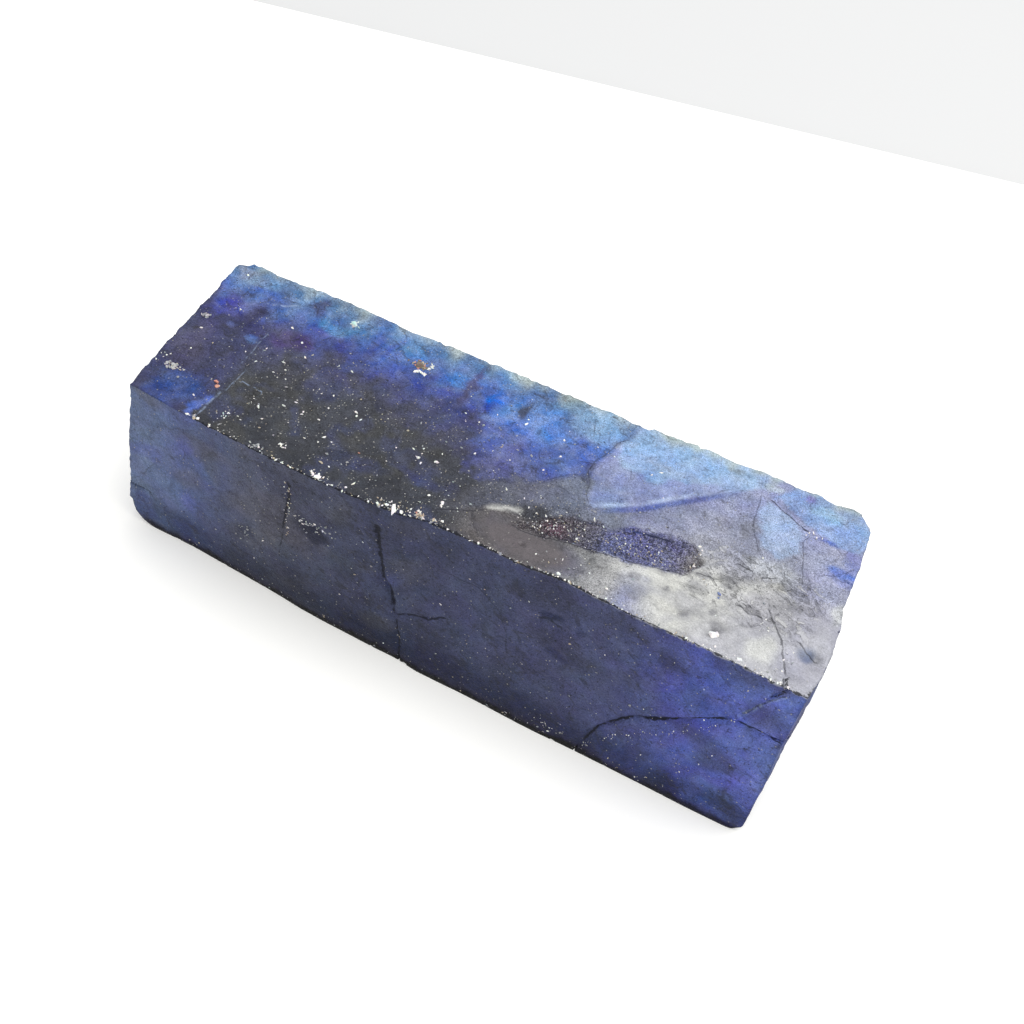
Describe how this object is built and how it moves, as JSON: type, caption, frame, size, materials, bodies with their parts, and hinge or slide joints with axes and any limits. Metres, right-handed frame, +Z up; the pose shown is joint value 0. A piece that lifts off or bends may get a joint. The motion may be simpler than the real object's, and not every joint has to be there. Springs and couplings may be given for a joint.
{
  "type": "rough sapphire bar",
  "caption": "Rough deep blue sapphire: a sawn and broken rectangular bar with a relief of ridges, pits and cracks on top, lying on a flat underside",
  "frame": {"origin": "middle of the box around the stone, at its flat sawn underside", "axes": "+X along the bar towards its chipped right end, +Y from the front side to the pale back edge, +Z up"},
  "size_m": [0.0714, 0.0252, 0.0213],
  "materials": {
    "sapphire": "deep indigo blue stone, dull on sawn and broken faces, paler and glassy along the back edge",
    "crumbs": "loose pale mineral crumbs and dust"
  },
  "bodies": {
    "root": {"sapphire_chunk": "sapphire"}
  },
  "joints": []
}
